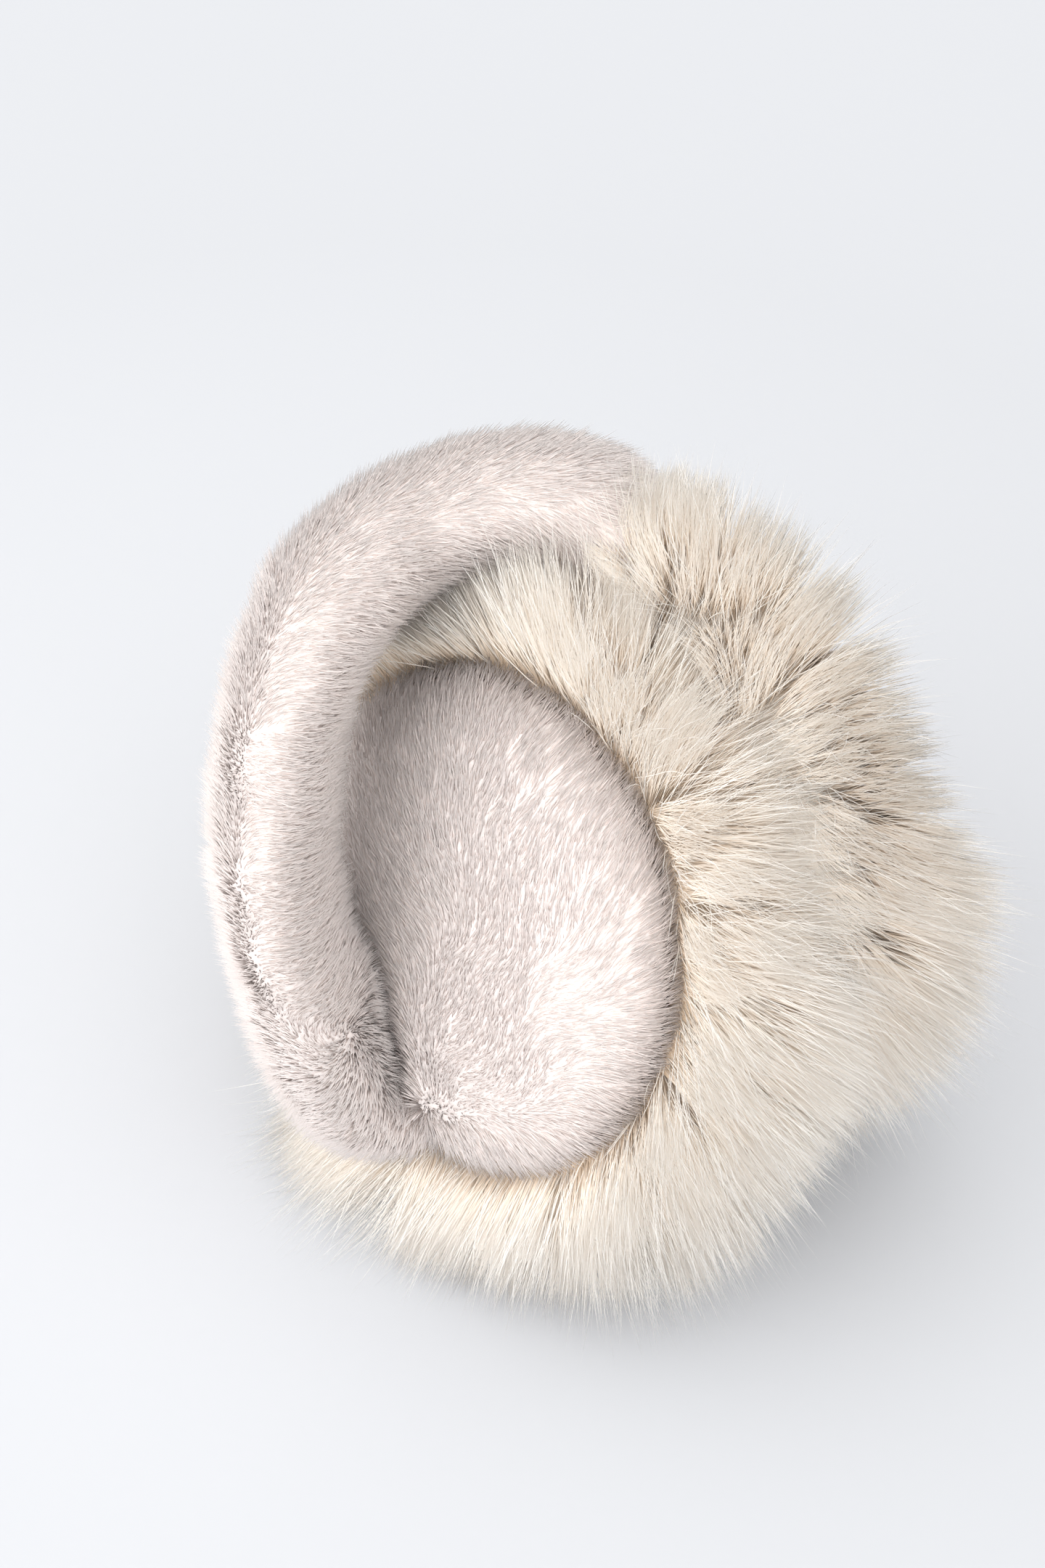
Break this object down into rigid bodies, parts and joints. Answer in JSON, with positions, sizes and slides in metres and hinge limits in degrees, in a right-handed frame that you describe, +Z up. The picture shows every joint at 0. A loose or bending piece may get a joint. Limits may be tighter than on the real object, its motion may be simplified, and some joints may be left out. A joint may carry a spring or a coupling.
{
  "type": "fur earmuffs",
  "caption": "Folded earmuffs lying at rest: an oval plush headband loops over soft ear pads ringed with long fur.",
  "frame": {"origin": "on the surface it rests on, under the middle of the object's bounding box", "axes": "+Z up, -Y towards the viewer of the near ear pad, +X to that viewer's right"},
  "size_m": [0.1514, 0.1582, 0.1489],
  "materials": {
    "plush": "short dense pinkish grey pile",
    "long_fur": "long cream fur with pale guard hairs"
  },
  "bodies": {
    "root": {"headband": "plush", "near_ear_pad": "plush", "near_fur_muff": "long_fur", "far_ear_pad": "plush", "far_fur_muff": "long_fur"}
  },
  "joints": []
}
